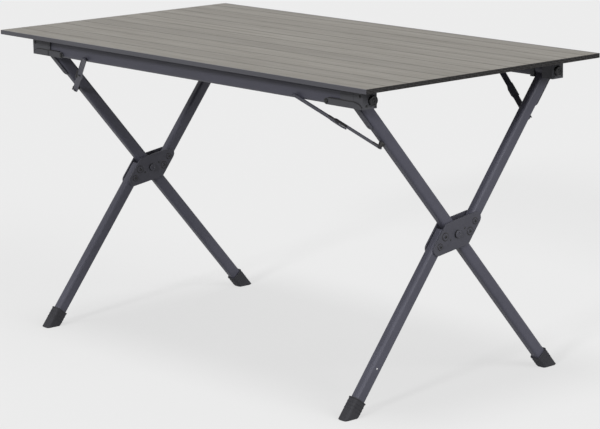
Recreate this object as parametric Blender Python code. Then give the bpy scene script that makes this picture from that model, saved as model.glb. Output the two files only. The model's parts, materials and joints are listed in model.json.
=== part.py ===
"""Folding camp table: a slatted roll-up top on two rails, carried by two scissor leg pairs.

Metres, +Z up. X runs along the table, -Y is the front, the feet stand on z = 0.
Each leg pair swings under the rails on its four corner brackets, and two-link stays brace it.
"""

import math

import bmesh
import bpy
from mathutils import Matrix, Vector

# Top
TOP_LENGTH = 1.300
TOP_DEPTH = 0.700
TOP_HEIGHT = 0.724
SLAT_COUNT = 12
REAR_SLAT_DEPTH = 0.0455
SLAT_THICKNESS = 0.010
SLAT_WALL = 0.001
SLAT_CELLS = 3
SLAT_EDGE_CHAMFER = 0.0008
SLAT_GAP = 0.0006
EDGE_TRIM_DEPTH = 0.003
EDGE_TRIM_INSET = 0.001

# Rails
RAIL_SETBACK = 0.053
RAIL_DEPTH = 0.022
RAIL_HEIGHT = 0.038
RAIL_CORNER = 0.008
RAIL_WALL = 0.0015
RAIL_HALF_LENGTH = 0.5165
RAIL_PAD_HEIGHT = 0.008
RAIL_PAD_DEPTH = 0.016
RAIL_PAD_END_INSET = 0.0015

# Legs
LEG_X = 0.541
LEG_WIDTH = 0.022
LEG_DEPTH = 0.0285
LEG_CORNER = 0.0065
LEG_WALL = 0.0015
NEST_GAP = 0.0006
HUB_HEIGHT = 0.356
HUB_SHIFT = 0.003
PIVOT_INSET = 0.0221
PIVOT_DROP = 0.001
LEG_TOP_OVERRUN = 0.0075
UPPER_LEG_TOP_OVERRUN = 0.013
UPPER_LEG_EYE_RADIUS = 0.0125
SPLIT_LEG_LEAN = math.radians(2.3)
HUB_END_GAP = 0.0135

# Hub
HUB_PLATE_THICKNESS = 0.0035
HUB_PLATE_REACH = 0.056
HUB_PLATE_SHOULDER = 0.001
HUB_BOLT_RADIUS = 0.005
HUB_HEAD_RADIUS = 0.009
HUB_HEAD_HEIGHT = 0.003

# Corner brackets
BRACKET_START = 0.5176
BRACKET_END = 0.586
BRACKET_SLOT_CLEARANCE = 0.0015
BRACKET_ROOF = 0.0035
BRACKET_EYE_MARGIN = 0.0001
ARM_THICKNESS = 0.003
ARM_HEIGHT = 0.0138
FOLD_PIN_X = 0.473
FOLD_PIN_LIFT = 0.007
FOLD_PIN_RADIUS = 0.003
FOLD_PIN_DEPTH = 0.007
FOLD_HEAD_RADIUS = 0.0055
FOLD_HEAD_HEIGHT = 0.0018
PIVOT_BOLT_RADIUS = 0.004
PIVOT_HEAD_RADIUS = 0.009
PIVOT_HEAD_HEIGHT = 0.0055
STRAP_WIDTH = 0.016
STRAP_THICKNESS = 0.003
STRAP_START = 0.0235
STRAP_END = 0.080

# Feet
FOOT_WIDTH = 0.027
FOOT_DEPTH = 0.033
FOOT_CORNER = 0.006
FOOT_LENGTH = 0.046
FOOT_FLOOR = 0.016
FOOT_CHAMFER = 0.0025

# Folding stays
STAY_RAIL_X = 0.376
STAY_RAIL_RISE = 0.0105
FRONT_STAY_LEG_DROP = 0.125
BACK_STAY_LEG_DROP = 0.110
STAY_WIDTH = 0.010
STAY_THICKNESS = 0.002
FRONT_STAY_STANDOFF = 0.0098
BACK_STAY_STANDOFF = 0.0015
STAY_RAIL_CLEARANCE = 0.0011
STAY_STACK_GAP = 0.0003
STAY_BOSS_RADIUS = 0.0025
STAY_BOSS_FRONT = 0.0025
STAY_BOSS_BACK = 0.005
STAY_RIVET_RADIUS = 0.002
STAY_RIVET_HEAD = 0.0036
STAY_RIVET_HEAD_HEIGHT = 0.0012
STAY_HEAD_SINK = 0.0005

# Fits
SEAT_GAP = 0.0003
HOLE_CLEARANCE = 0.0003
CUT_OVERRUN = 0.004
ROUND_SIDES = 20
CORNER_STEPS = 4

LEFT, RIGHT = -1, 1
FRONT, BACK = -1, 1
SIDE_NAMES = {FRONT: "front", BACK: "back"}
END_NAMES = {LEFT: "left", RIGHT: "right"}
STAY_STANDOFF = {FRONT: FRONT_STAY_STANDOFF, BACK: BACK_STAY_STANDOFF}
STAY_LEG_DROP = {FRONT: FRONT_STAY_LEG_DROP, BACK: BACK_STAY_LEG_DROP}

# Places worked out from the sizes above
SLAT_PITCH = (TOP_DEPTH - REAR_SLAT_DEPTH) / (SLAT_COUNT - 1)
SLAT_UNDERSIDE = TOP_HEIGHT - SLAT_THICKNESS
RAIL_TOP = SLAT_UNDERSIDE - RAIL_PAD_HEIGHT
RAIL_BOTTOM = RAIL_TOP - RAIL_HEIGHT
RAIL_OUTER = TOP_DEPTH / 2 - RAIL_SETBACK
RAIL_MIDDLE = RAIL_OUTER - RAIL_DEPTH / 2
PIVOT_Z = RAIL_BOTTOM + RAIL_HEIGHT / 2 - PIVOT_DROP
PIVOT_HALF_SPAN = RAIL_OUTER - PIVOT_INSET + HUB_SHIFT
PIVOT_Y = {FRONT: HUB_SHIFT - PIVOT_HALF_SPAN, BACK: HUB_SHIFT + PIVOT_HALF_SPAN}
PIVOT_RISE = PIVOT_Z - HUB_HEIGHT
STRAIGHT_ANGLE = math.atan2(PIVOT_HALF_SPAN, PIVOT_RISE)
SPLIT_ANGLE = STRAIGHT_ANGLE - SPLIT_LEG_LEAN
SPLIT_OFFSET = LEG_DEPTH + NEST_GAP
ARM_OUTER = RAIL_OUTER + SEAT_GAP + ARM_THICKNESS
FOLD_PIN_Z = RAIL_BOTTOM + FOLD_PIN_LIFT

FINISHES = {
    "slat": ((0.30, 0.275, 0.25), 0.55, 0.0),
    "edge": ((0.085, 0.088, 0.100), 0.45, 0.3),
    "frame": ((0.070, 0.072, 0.082), 0.48, 0.3),
    "plastic": ((0.030, 0.030, 0.033), 0.60, 0.0),
    "bracket": ((0.075, 0.077, 0.085), 0.55, 0.0),
    "steel": ((0.035, 0.035, 0.038), 0.35, 0.8),
    "rubber": ((0.022, 0.022, 0.024), 0.75, 0.0),
}


def clear_scene():
    for item in list(bpy.data.objects):
        bpy.data.objects.remove(item, do_unlink=True)


def new_material(name, finish):
    colour, roughness, metallic = FINISHES[finish]
    material = bpy.data.materials.new(name + "_finish")
    material.use_nodes = True
    shader = material.node_tree.nodes["Principled BSDF"]
    shader.inputs["Base Color"].default_value = (*colour, 1.0)
    shader.inputs["Roughness"].default_value = roughness
    shader.inputs["Metallic"].default_value = metallic
    material.diffuse_color = (*colour, 1.0)
    return material


class Body:
    """A rigid group of pieces. Its empty stands on the joint that carries it."""

    def __init__(self, name, pivot, parent=None):
        self.pivot = Vector(pivot)
        self.empty = bpy.data.objects.new("body_" + name, None)
        self.empty.empty_display_size = 0.03
        bpy.context.scene.collection.objects.link(self.empty)
        if parent is None:
            self.empty.location = self.pivot
        else:
            self.empty.parent = parent.empty
            self.empty.location = self.pivot - parent.pivot

    def place(self, name, mesh, finish=None):
        """Puts a mesh made in world places on this body. Without a finish it is a cutter."""
        mesh.transform(Matrix.Translation(-self.pivot))
        piece = bpy.data.objects.new(name, mesh)
        piece.parent = self.empty
        bpy.context.scene.collection.objects.link(piece)
        if finish is None:
            piece.hide_render = True
            piece.display_type = "WIRE"
        else:
            mesh.materials.append(new_material(name, finish))
            mesh.shade_smooth()
            mesh.set_sharp_from_angle(angle=math.radians(35))
        return piece


def apply_shape(piece, other, operation):
    """Joins or cuts one piece with another, which then only guides the shape."""
    modifier = piece.modifiers.new(operation.lower() + "_" + other.name, "BOOLEAN")
    modifier.operation = operation
    modifier.solver = "EXACT"
    modifier.object = other


def mesh_from(name, points, faces):
    shape = bmesh.new()
    vertices = [shape.verts.new(point) for point in points]
    for face in faces:
        shape.faces.new([vertices[index] for index in face])
    bmesh.ops.recalc_face_normals(shape, faces=shape.faces)
    mesh = bpy.data.meshes.new(name)
    shape.to_mesh(mesh)
    shape.free()
    return mesh


def frame_at(origin, across, along):
    """A frame whose first axis is across, whose third is along, and whose second completes it."""
    across = Vector(across).normalized()
    along = Vector(along).normalized()
    second = along.cross(across)
    frame = Matrix((across, second, along)).transposed().to_4x4()
    frame.translation = Vector(origin)
    return frame


def rounded_outline(width, depth, radius, steps=CORNER_STEPS):
    """A rectangle about the origin with round corners, anticlockwise."""
    outline = []
    for quarter, (sign_u, sign_v) in enumerate(((1, 1), (-1, 1), (-1, -1), (1, -1))):
        for step in range(steps + 1):
            angle = math.pi / 2 * (quarter + step / steps)
            outline.append((sign_u * (width / 2 - radius) + radius * math.cos(angle),
                            sign_v * (depth / 2 - radius) + radius * math.sin(angle)))
    return outline


def round_outline(radius, sides=ROUND_SIDES):
    turns = [2 * math.pi * side / sides for side in range(sides)]
    return [(radius * math.cos(turn), radius * math.sin(turn)) for turn in turns]


def bar_outline(length, width, steps=6):
    """A bar with round ends, from the origin to length along the first axis."""
    radius = width / 2
    outline = []
    for centre, start in ((length, -math.pi / 2), (0.0, math.pi / 2)):
        for step in range(steps + 1):
            angle = start + math.pi * step / steps
            outline.append((centre + radius * math.cos(angle), radius * math.sin(angle)))
    return outline


def prism(name, outline, low, high, frame):
    """The outline pushed from low to high along the frame's third axis."""
    count = len(outline)
    points = [frame @ Vector((u, v, level)) for level in (low, high) for u, v in outline]
    faces = [list(range(count)), list(range(count, 2 * count))]
    for side in range(count):
        after = (side + 1) % count
        faces.append([side, after, count + after, count + side])
    return mesh_from(name, points, faces)


def tube(name, outer, inner, low, high, frame):
    """An open-ended tube between two outlines that have the same number of points."""
    count = len(outer)
    rings = [[frame @ Vector((u, v, level)) for u, v in outline]
             for level, outline in ((low, outer), (high, outer), (high, inner), (low, inner))]
    faces = []
    for ring in range(4):
        following = (ring + 1) % 4
        for side in range(count):
            after = (side + 1) % count
            faces.append([ring * count + side, ring * count + after,
                          following * count + after, following * count + side])
    return mesh_from(name, [point for ring in rings for point in ring], faces)


def box(name, low, high):
    outline = [(low[0], low[1]), (high[0], low[1]), (high[0], high[1]), (low[0], high[1])]
    return prism(name, outline, low[2], high[2], Matrix.Identity(4))


def stepped_pin(name, frame, steps):
    """A turned pin. Each step is (radius, where it ends), and the first starts at steps[0][1]."""
    rings = []
    level = steps[0][1]
    for radius, end in steps[1:]:
        rings += [(radius, level), (radius, end)]
        level = end
    points = [frame @ Vector((u, v, height)) for radius, height in rings
              for u, v in round_outline(radius)]
    count = ROUND_SIDES
    faces = [list(range(count)), list(range((len(rings) - 1) * count, len(rings) * count))]
    for ring in range(len(rings) - 1):
        for side in range(count):
            after = (side + 1) % count
            faces.append([ring * count + side, ring * count + after,
                          (ring + 1) * count + after, (ring + 1) * count + side])
    return mesh_from(name, points, faces)


def drill(body, piece, name, frame, radius, low, high):
    """Drills a round hole through one piece."""
    cutter = body.place(name + "_drill", prism(name + "_drill", round_outline(radius), low, high, frame))
    apply_shape(piece, cutter, "DIFFERENCE")


def slat_edges(index):
    """Front and back edge of the slat with this number, counted from 1 at the front."""
    front = -TOP_DEPTH / 2
    low = front + (index - 1) * SLAT_PITCH + SLAT_GAP / 2
    high = front + index * SLAT_PITCH - SLAT_GAP / 2
    if index == 1:
        low = front + EDGE_TRIM_DEPTH + SEAT_GAP
    if index == SLAT_COUNT:
        high = TOP_DEPTH / 2 - EDGE_TRIM_DEPTH - SEAT_GAP
    return low, high


def add_slat(body, index):
    """A hollow extrusion with its two upper edges broken, open at both ends."""
    name = f"slat_{index:02d}"
    low, high = slat_edges(index)
    chamfer = SLAT_EDGE_CHAMFER
    outline = [(low, SLAT_UNDERSIDE), (high, SLAT_UNDERSIDE), (high, TOP_HEIGHT - chamfer),
               (high - chamfer, TOP_HEIGHT), (low + chamfer, TOP_HEIGHT), (low, TOP_HEIGHT - chamfer)]
    along = frame_at((0, 0, 0), (0, 1, 0), (1, 0, 0))
    slat = body.place(name, prism(name, outline, -TOP_LENGTH / 2, TOP_LENGTH / 2, along), "slat")
    cell_depth = (high - low - SLAT_WALL * (SLAT_CELLS + 1)) / SLAT_CELLS
    for cell in range(SLAT_CELLS):
        start = low + SLAT_WALL + cell * (cell_depth + SLAT_WALL)
        reach = TOP_LENGTH / 2 + CUT_OVERRUN
        hollow = box(f"{name}_cell_{cell}", (-reach, start, SLAT_UNDERSIDE + SLAT_WALL),
                     (reach, start + cell_depth, TOP_HEIGHT - SLAT_WALL))
        apply_shape(slat, body.place(f"{name}_cell_{cell}", hollow), "DIFFERENCE")


def add_edge_trim(body, side):
    """The flat profile that closes the long edge of the top."""
    name = SIDE_NAMES[side] + "_edge_trim"
    reach = TOP_LENGTH / 2 - EDGE_TRIM_INSET
    outer = side * TOP_DEPTH / 2
    inner = outer - side * EDGE_TRIM_DEPTH
    body.place(name, box(name, (-reach, min(outer, inner), SLAT_UNDERSIDE),
                         (reach, max(outer, inner), TOP_HEIGHT)), "edge")


def add_rail(body, side):
    """A rail tube along X, drilled for its two fold pins, with the pad that the slats lie on."""
    name = SIDE_NAMES[side] + "_rail"
    middle = side * RAIL_MIDDLE
    along = frame_at((0, middle, RAIL_BOTTOM + RAIL_HEIGHT / 2), (0, 1, 0), (1, 0, 0))
    outer = rounded_outline(RAIL_DEPTH, RAIL_HEIGHT, RAIL_CORNER)
    inner = rounded_outline(RAIL_DEPTH - 2 * RAIL_WALL, RAIL_HEIGHT - 2 * RAIL_WALL,
                            RAIL_CORNER - RAIL_WALL)
    rail = body.place(name, tube(name, outer, inner, -RAIL_HALF_LENGTH, RAIL_HALF_LENGTH, along), "frame")
    for end in (LEFT, RIGHT):
        drill(body, rail, f"{name}_{END_NAMES[end]}", fold_pin_frame(side, end),
              FOLD_PIN_RADIUS + HOLE_CLEARANCE, ARM_OUTER - FOLD_PIN_DEPTH - CUT_OVERRUN,
              ARM_OUTER + CUT_OVERRUN)
    reach = RAIL_HALF_LENGTH - RAIL_PAD_END_INSET
    pad = box(name + "_pad", (-reach, middle - RAIL_PAD_DEPTH / 2, RAIL_TOP + SEAT_GAP),
              (reach, middle + RAIL_PAD_DEPTH / 2, SLAT_UNDERSIDE - SEAT_GAP))
    body.place(name + "_pad", pad, "rubber")


def fold_pin_frame(side, end):
    """Third axis out of the rail's outer face, so a level there is a distance from y = 0."""
    return frame_at((end * FOLD_PIN_X, 0, FOLD_PIN_Z), (1, 0, 0), (0, side, 0))


def pivot_frame(side, end):
    """Third axis outwards along X, so a level there is a distance from x = 0."""
    return frame_at((0, PIVOT_Y[side], PIVOT_Z), (0, 1, 0), (end, 0, 0))


def hub_frame(end):
    return frame_at((0, HUB_SHIFT, HUB_HEIGHT), (0, 1, 0), (end, 0, 0))


def slot_bounds():
    half = LEG_WIDTH / 2 + BRACKET_SLOT_CLEARANCE
    return LEG_X - half, LEG_X + half


def add_fold_pin(body, side, end):
    name = f"fold_pin_{SIDE_NAMES[side]}_{END_NAMES[end]}"
    seat = ARM_OUTER + SEAT_GAP
    steps = [(0, ARM_OUTER - FOLD_PIN_DEPTH), (FOLD_PIN_RADIUS, seat),
             (FOLD_HEAD_RADIUS, seat + FOLD_HEAD_HEIGHT)]
    body.place(name, stepped_pin(name, fold_pin_frame(side, end), steps), "steel")


def add_bracket(body, side, end):
    """A forked block at the rail's end with an arm along the rail to the fold pin."""
    name = f"corner_bracket_{SIDE_NAMES[side]}_{END_NAMES[end]}"
    slot_low, slot_high = slot_bounds()
    roof = RAIL_TOP - BRACKET_ROOF
    fork = [(BRACKET_START, RAIL_BOTTOM), (slot_low, RAIL_BOTTOM), (slot_low, roof), (slot_high, roof),
            (slot_high, RAIL_BOTTOM), (BRACKET_END, RAIL_BOTTOM), (BRACKET_END, RAIL_TOP),
            (BRACKET_START, RAIL_TOP)]
    outwards = Matrix(((end, 0, 0, 0), (0, 0, side, 0), (0, 1, 0, 0), (0, 0, 0, 1)))
    inner = side * PIVOT_Y[side] - LEG_DEPTH / 2 - BRACKET_EYE_MARGIN
    bracket = body.place(name, prism(name, fork, inner, ARM_OUTER, outwards), "bracket")
    bend = ARM_HEIGHT / 2
    arm = [(FOLD_PIN_X + bend * math.sin(turn), RAIL_BOTTOM + bend + bend * math.cos(turn))
           for turn in [-math.pi * step / 8 for step in range(9)]]
    arm += [(slot_low, RAIL_BOTTOM), (slot_low, RAIL_BOTTOM + ARM_HEIGHT)]
    arm_mesh = prism(name + "_arm", arm, ARM_OUTER - ARM_THICKNESS, ARM_OUTER, outwards)
    apply_shape(bracket, body.place(name + "_arm", arm_mesh), "UNION")
    drill(body, bracket, name + "_fold", fold_pin_frame(side, end), FOLD_PIN_RADIUS + HOLE_CLEARANCE,
          ARM_OUTER - ARM_THICKNESS - CUT_OVERRUN / 4, ARM_OUTER + CUT_OVERRUN)
    drill(body, bracket, name + "_pivot", pivot_frame(side, end), PIVOT_BOLT_RADIUS + HOLE_CLEARANCE,
          BRACKET_START - CUT_OVERRUN, BRACKET_END + CUT_OVERRUN)


def add_pivot_bolt(body, side, end):
    name = f"pivot_bolt_{SIDE_NAMES[side]}_{END_NAMES[end]}"
    seat = BRACKET_END + SEAT_GAP
    steps = [(0, BRACKET_START + SEAT_GAP), (PIVOT_BOLT_RADIUS, seat),
             (PIVOT_HEAD_RADIUS, seat + PIVOT_HEAD_HEIGHT)]
    body.place(name, stepped_pin(name, pivot_frame(side, end), steps), "steel")


def leg_outlines():
    outer = rounded_outline(LEG_WIDTH, LEG_DEPTH, LEG_CORNER)
    inner = rounded_outline(LEG_WIDTH - 2 * LEG_WALL, LEG_DEPTH - 2 * LEG_WALL, LEG_CORNER - LEG_WALL)
    return outer, inner


def leg_line(kind, end):
    """Start and downward direction of a leg's centre line. The start is level with its upper pivot,
    or with the hub on the lower half of the split leg."""
    hub = Vector((end * LEG_X, HUB_SHIFT, HUB_HEIGHT))
    if kind == "straight":
        down = Vector((0, math.sin(STRAIGHT_ANGLE), -math.cos(STRAIGHT_ANGLE)))
        return Vector((end * LEG_X, PIVOT_Y[FRONT], PIVOT_Z)), down
    down = Vector((0, -math.sin(SPLIT_ANGLE), -math.cos(SPLIT_ANGLE)))
    aside = Vector((0, math.cos(SPLIT_ANGLE), -math.sin(SPLIT_ANGLE)))
    if kind == "lower":
        return hub - aside * SPLIT_OFFSET, down
    pivot = Vector((end * LEG_X, PIVOT_Y[BACK], PIVOT_Z))
    return hub + aside * SPLIT_OFFSET - down * (hub - pivot).dot(down), down


def leg_outward(kind):
    """The unit normal of a leg's outer, lower face, where its strap and stay lie."""
    if kind == "straight":
        return Vector((0, -math.cos(STRAIGHT_ANGLE), -math.sin(STRAIGHT_ANGLE)))
    return Vector((0, math.cos(SPLIT_ANGLE), -math.sin(SPLIT_ANGLE)))


def floor_distance(start, down):
    return start.z / -down.z


def add_straight_leg(body, end):
    """The one-piece leg from the front bracket to the back foot."""
    name = "leg_straight_" + END_NAMES[end]
    start, down = leg_line("straight", end)
    outer, inner = leg_outlines()
    bottom = floor_distance(start, down) - FOOT_FLOOR
    frame = frame_at(start, (1, 0, 0), down)
    leg = body.place(name, tube(name, outer, inner, -LEG_TOP_OVERRUN, bottom, frame), "frame")
    drill_leg(body, leg, name + "_pivot", pivot_frame(FRONT, end), PIVOT_BOLT_RADIUS)
    drill_leg(body, leg, name + "_hub", hub_frame(end), HUB_BOLT_RADIUS)
    add_foot(body, "foot_back_" + END_NAMES[end], start, down)


def drill_leg(body, leg, name, frame, bolt_radius):
    reach = LEG_WIDTH / 2 + CUT_OVERRUN
    drill(body, leg, name, frame, bolt_radius + HOLE_CLEARANCE, LEG_X - reach, LEG_X + reach)


def add_split_leg(body, end):
    """The leg from the back bracket to the front foot: two tubes side by side, joined by hub plates."""
    outer, inner = leg_outlines()
    start, down = leg_line("upper", end)
    name = "leg_upper_" + END_NAMES[end]
    pivot = Vector((end * LEG_X, PIVOT_Y[BACK], PIVOT_Z))
    hub = Vector((end * LEG_X, HUB_SHIFT, HUB_HEIGHT))
    reach = (hub - pivot).dot(down) - HUB_END_GAP
    frame = frame_at(start, (1, 0, 0), down)
    upper = body.place(name, tube(name, outer, inner, -UPPER_LEG_TOP_OVERRUN, reach, frame), "frame")
    eye = prism(name + "_eye", round_outline(UPPER_LEG_EYE_RADIUS), LEG_X - LEG_WIDTH / 2,
                LEG_X + LEG_WIDTH / 2, pivot_frame(BACK, end))
    apply_shape(upper, body.place(name + "_eye", eye), "UNION")
    drill_leg(body, upper, name + "_pivot", pivot_frame(BACK, end), PIVOT_BOLT_RADIUS)

    start, down = leg_line("lower", end)
    name = "leg_lower_" + END_NAMES[end]
    bottom = floor_distance(start, down) - FOOT_FLOOR
    frame = frame_at(start, (1, 0, 0), down)
    body.place(name, tube(name, outer, inner, HUB_END_GAP, bottom, frame), "frame")
    add_foot(body, "foot_front_" + END_NAMES[end], start, down)


def add_foot(body, name, start, down):
    """A boot over the leg's end, cut level with the floor, with a bevelled sole."""
    frame = frame_at(start, (1, 0, 0), down)
    floor = floor_distance(start, down)
    outer = rounded_outline(FOOT_WIDTH, FOOT_DEPTH, FOOT_CORNER)
    inner = rounded_outline(LEG_WIDTH + 2 * SEAT_GAP, LEG_DEPTH + 2 * SEAT_GAP, LEG_CORNER + SEAT_GAP)
    count = len(outer)
    top = [frame @ Vector((u, v, floor - FOOT_LENGTH)) for u, v in outer]

    def on_level(point, height):
        return point + down * ((point.z - height) / -down.z)

    above_sole = [on_level(point, FOOT_CHAMFER) for point in top]
    middle = on_level(frame @ Vector((0, 0, 0)), 0)
    sole = []
    for point in above_sole:
        flat = Vector((point.x, point.y, 0))
        sole.append(flat - (flat - middle).normalized() * FOOT_CHAMFER)
    mouth = [frame @ Vector((u, v, floor - FOOT_LENGTH)) for u, v in inner]
    seat = [frame @ Vector((u, v, floor - FOOT_FLOOR + SEAT_GAP)) for u, v in inner]
    rings = [sole, above_sole, top, mouth, seat]
    faces = [list(range(count)), list(range(4 * count, 5 * count))]
    for ring in range(4):
        for side in range(count):
            after = (side + 1) % count
            faces.append([ring * count + side, ring * count + after,
                          (ring + 1) * count + after, (ring + 1) * count + side])
    body.place(name, mesh_from(name, [point for ring in rings for point in ring], faces), "rubber")


def hub_plate_outline():
    """A parallelogram in (aside, up the leg), round where it ends on each tube."""
    radius = LEG_DEPTH / 2
    edge = SPLIT_OFFSET + radius
    centre = Vector((-SPLIT_OFFSET, -HUB_PLATE_REACH))
    shoulder = Vector((edge, -HUB_PLATE_SHOULDER))
    reach = shoulder - centre
    last = math.atan2(reach.y, reach.x) - math.acos(radius / reach.length)
    half = []
    steps = 8
    for step in range(steps + 1):
        angle = -math.pi + (last + math.pi) * step / steps
        half.append((centre.x + radius * math.cos(angle), centre.y + radius * math.sin(angle)))
    half.append((shoulder.x, shoulder.y))
    return half + [(-u, -v) for u, v in half]


def add_hub(body, end):
    """Two plates, one each side of the straight leg, and the bolt that all of them turn on."""
    up = Vector((0, math.sin(SPLIT_ANGLE), math.cos(SPLIT_ANGLE)))
    aside = Vector((0, math.cos(SPLIT_ANGLE), -math.sin(SPLIT_ANGLE)))
    sideways = Matrix((aside, up, Vector((end, 0, 0)))).transposed().to_4x4()
    sideways.translation = Vector((0, HUB_SHIFT, HUB_HEIGHT))
    half = LEG_WIDTH / 2 + SEAT_GAP
    faces = {"inner": (LEG_X - half - HUB_PLATE_THICKNESS, LEG_X - half),
             "outer": (LEG_X + half, LEG_X + half + HUB_PLATE_THICKNESS)}
    for place, (low, high) in faces.items():
        name = f"hub_plate_{place}_{END_NAMES[end]}"
        plate = body.place(name, prism(name, hub_plate_outline(), low, high, sideways), "bracket")
        drill(body, plate, name, hub_frame(end), HUB_BOLT_RADIUS + HOLE_CLEARANCE,
              low - CUT_OVERRUN / 4, high + CUT_OVERRUN / 4)
    name = "hub_bolt_" + END_NAMES[end]
    inner_seat = faces["inner"][0] - SEAT_GAP
    outer_seat = faces["outer"][1] + SEAT_GAP
    steps = [(0, inner_seat - HUB_HEAD_HEIGHT), (HUB_HEAD_RADIUS, inner_seat),
             (HUB_BOLT_RADIUS, outer_seat), (HUB_HEAD_RADIUS, outer_seat + HUB_HEAD_HEIGHT)]
    body.place(name, stepped_pin(name, hub_frame(end), steps), "steel")


def add_strap(body, side, end):
    """The flat strap on the leg's outer face, just below its bracket."""
    name = f"leg_strap_{SIDE_NAMES[side]}_{END_NAMES[end]}"
    kind = "straight" if side == FRONT else "upper"
    start, down = leg_line(kind, end)
    outward = leg_outward(kind)
    radius = STRAP_WIDTH / 2
    length = STRAP_END - STRAP_START - radius
    outline = [(0.0, -radius), *bar_outline(length, STRAP_WIDTH)[:7], (0.0, radius)]
    frame = frame_at(start + down * STRAP_START, down, outward)
    face = LEG_DEPTH / 2 + SEAT_GAP
    body.place(name, prism(name, outline, face, face + STRAP_THICKNESS, frame), "bracket")


def stay_ends(side, end):
    """Leg end and rail end of a stay's middle plane, and the side that faces away from the leg."""
    kind = "straight" if side == FRONT else "upper"
    start, down = leg_line(kind, end)
    outward = leg_outward(kind)
    face = LEG_DEPTH / 2 + STAY_STANDOFF[side] + STAY_THICKNESS / 2
    leg_end = start + down * STAY_LEG_DROP[side] + outward * face
    corner = Vector((0, side * (RAIL_OUTER - RAIL_CORNER), RAIL_BOTTOM + RAIL_CORNER))
    pivot = Vector((0, PIVOT_Y[side], PIVOT_Z))
    reach = (corner - pivot).dot(outward) + RAIL_CORNER + STAY_RAIL_CLEARANCE + STAY_THICKNESS / 2
    stack = STAY_THICKNESS + STAY_STACK_GAP
    rail_end = pivot - down * STAY_RAIL_RISE + outward * (reach - stack)
    rail_end.x = end * STAY_RAIL_X
    return leg_end, rail_end, outward


def add_stay(leg_link_body, rail_link_body, side, end):
    """Two flat links with a rivet between them. The rail link lies over the leg link."""
    place = f"{SIDE_NAMES[side]}_{END_NAMES[end]}"
    leg_end, rail_end, outward = stay_ends(side, end)
    along = (rail_end - leg_end).normalized()
    normal = (outward - along * outward.dot(along)).normalized()
    middle = (leg_end + rail_end) / 2
    length = (rail_end - leg_end).length / 2
    half = STAY_THICKNESS / 2
    stack = STAY_THICKNESS + STAY_STACK_GAP
    outline = bar_outline(length, STAY_WIDTH)

    name = "stay_leg_link_" + place
    link = prism(name, outline, -half, half, frame_at(leg_end, along, normal))
    leg_link = leg_link_body.place(name, link, "frame")
    head_seat = half + stack + STAY_STACK_GAP
    rivet = stepped_pin(name + "_rivet", frame_at(middle, along, normal),
                        [(0, -half / 2), (STAY_RIVET_RADIUS, head_seat),
                         (STAY_RIVET_HEAD, head_seat + STAY_RIVET_HEAD_HEIGHT)])
    apply_shape(leg_link, leg_link_body.place(name + "_rivet", rivet), "UNION")
    boss = stepped_pin(name + "_boss", frame_at(leg_end, along, normal),
                       [(0, -half - STAY_STANDOFF[side] + SEAT_GAP),
                        (STAY_BOSS_RADIUS, half - STAY_HEAD_SINK),
                        (STAY_RIVET_HEAD, half + STAY_RIVET_HEAD_HEIGHT)])
    apply_shape(leg_link, leg_link_body.place(name + "_boss", boss), "UNION")

    name = "stay_rail_link_" + place
    link = prism(name, outline, stack - half, stack + half, frame_at(middle, along, normal))
    rail_link = rail_link_body.place(name, link, "frame")
    boss_length = STAY_BOSS_FRONT if side == FRONT else STAY_BOSS_BACK
    boss = stepped_pin(name + "_boss", frame_at(rail_end, along, normal),
                       [(0, stack - half - boss_length),
                        (STAY_BOSS_RADIUS, stack + half - STAY_HEAD_SINK),
                        (STAY_RIVET_HEAD, stack + half + STAY_RIVET_HEAD_HEIGHT)])
    apply_shape(rail_link, rail_link_body.place(name + "_boss", boss), "UNION")
    drill(rail_link_body, rail_link, name, frame_at(middle, along, normal),
          STAY_RIVET_RADIUS + HOLE_CLEARANCE, 0, 2 * stack)


def build_top(root):
    add_edge_trim(root, FRONT)
    add_slat(root, 1)
    body = root
    for index in range(2, SLAT_COUNT + 1):
        seam = slat_edges(index)[0] - SLAT_GAP / 2
        body = Body(f"slat_{index:02d}", (0, seam, TOP_HEIGHT), body)
        add_slat(body, index)
    add_edge_trim(body, BACK)


def build_leg_pair(root, end):
    """One end of the frame. It returns the body of the back bracket."""
    place = END_NAMES[end]
    fold = (end * FOLD_PIN_X, 0, FOLD_PIN_Z)
    pivots = {side: (end * LEG_X, PIVOT_Y[side], PIVOT_Z) for side in (FRONT, BACK)}
    front_bracket = Body("bracket_front_" + place, fold, root)
    straight = Body("leg_straight_" + place, pivots[FRONT], front_bracket)
    split = Body("leg_split_" + place, (end * LEG_X, HUB_SHIFT, HUB_HEIGHT), straight)
    back_bracket = Body("bracket_back_" + place, pivots[BACK], split)
    add_bracket(front_bracket, FRONT, end)
    add_pivot_bolt(front_bracket, FRONT, end)
    add_bracket(back_bracket, BACK, end)
    add_pivot_bolt(back_bracket, BACK, end)
    add_straight_leg(straight, end)
    add_split_leg(split, end)
    add_hub(split, end)
    for side, leg in ((FRONT, straight), (BACK, split)):
        add_strap(leg, side, end)
        corner = f"{SIDE_NAMES[side]}_{place}"
        leg_end, rail_end, _ = stay_ends(side, end)
        leg_link = Body("stay_leg_link_" + corner, leg_end, leg)
        rail_link = Body("stay_rail_link_" + corner, (leg_end + rail_end) / 2, leg_link)
        add_stay(leg_link, rail_link, side, end)
    return back_bracket


def build_table():
    clear_scene()
    root = Body("root", (0, 0, 0))
    build_top(root)
    add_rail(root, FRONT)
    back_brackets = {end: build_leg_pair(root, end) for end in (LEFT, RIGHT)}
    back_rail = Body("back_rail", (RIGHT * FOLD_PIN_X, 0, FOLD_PIN_Z), back_brackets[RIGHT])
    add_rail(back_rail, BACK)
    for end in (LEFT, RIGHT):
        add_fold_pin(root, FRONT, end)
        add_fold_pin(back_rail, BACK, end)


build_table()
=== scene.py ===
import json
import math

import bmesh
import bpy
from mathutils import Matrix, Vector


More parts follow.
